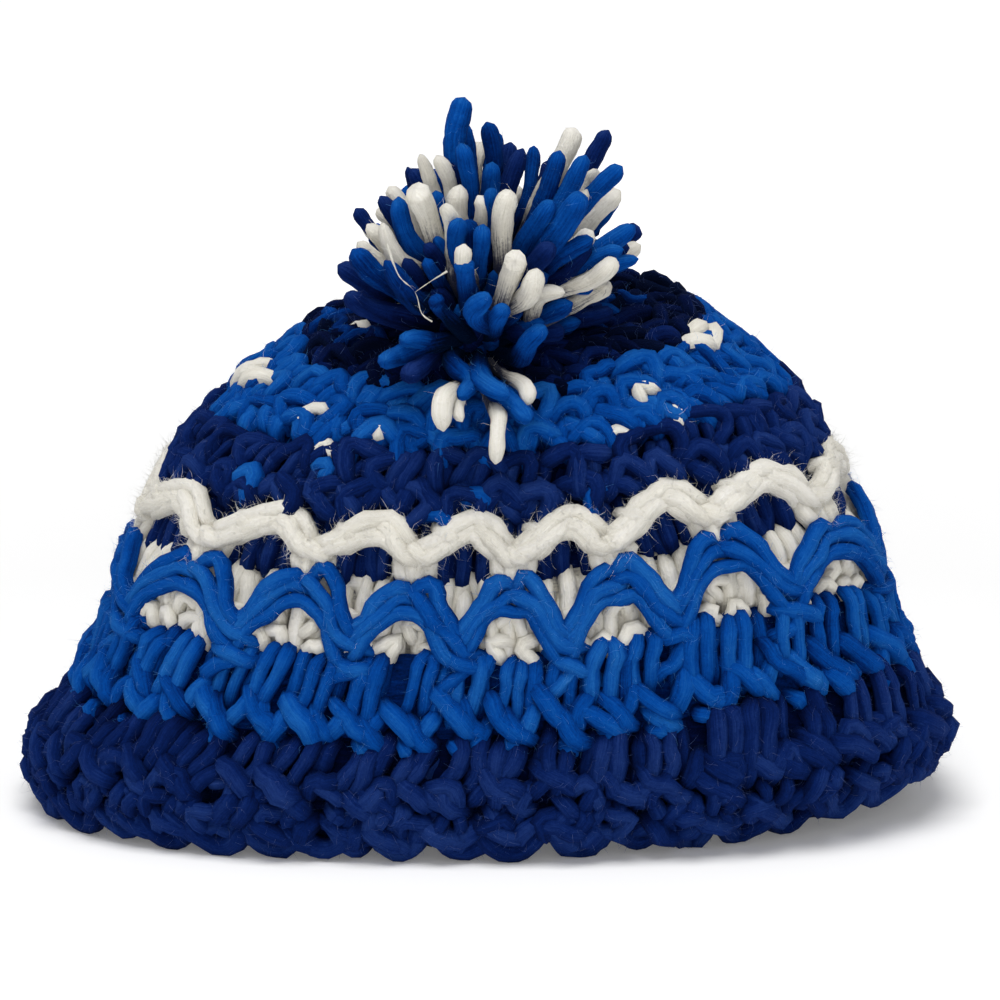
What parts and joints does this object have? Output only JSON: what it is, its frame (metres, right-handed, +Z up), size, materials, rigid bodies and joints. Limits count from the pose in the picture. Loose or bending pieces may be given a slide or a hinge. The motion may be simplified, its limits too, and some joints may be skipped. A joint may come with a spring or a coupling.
{
  "type": "beanie",
  "caption": "Chunky crocheted beanie in navy, royal blue and ivory: flared rim, raised zigzag ropes round the wall, gathered crown and a yarn pompom; hollow, open underneath for the head.",
  "frame": {"origin": "middle of the hat's outer box, at the height of the surface the rim stands on", "axes": "+Z up through the crown, +X towards the side where the rim is raised, -Y towards the front that the pompom leans over"},
  "size_m": [0.2408, 0.124, 0.1877],
  "materials": {
    "navy_yarn": "matte thick-and-thin roving yarn",
    "royal_yarn": "matte thick-and-thin roving yarn",
    "ivory_yarn": "matte thick-and-thin roving yarn",
    "pompom_yarn": "loose cut yarn ends in navy, royal blue and ivory"
  },
  "bodies": {
    "root": {"rim_band": "navy_yarn", "royal_band": "royal_yarn", "ivory_band": "ivory_yarn", "navy_band": "navy_yarn", "crown_band": "royal_yarn", "crown_top": "navy_yarn", "royal_zigzag": "royal_yarn", "ivory_zigzag": "ivory_yarn", "pompom": "pompom_yarn", "pompom_tie": "navy_yarn"}
  },
  "joints": []
}
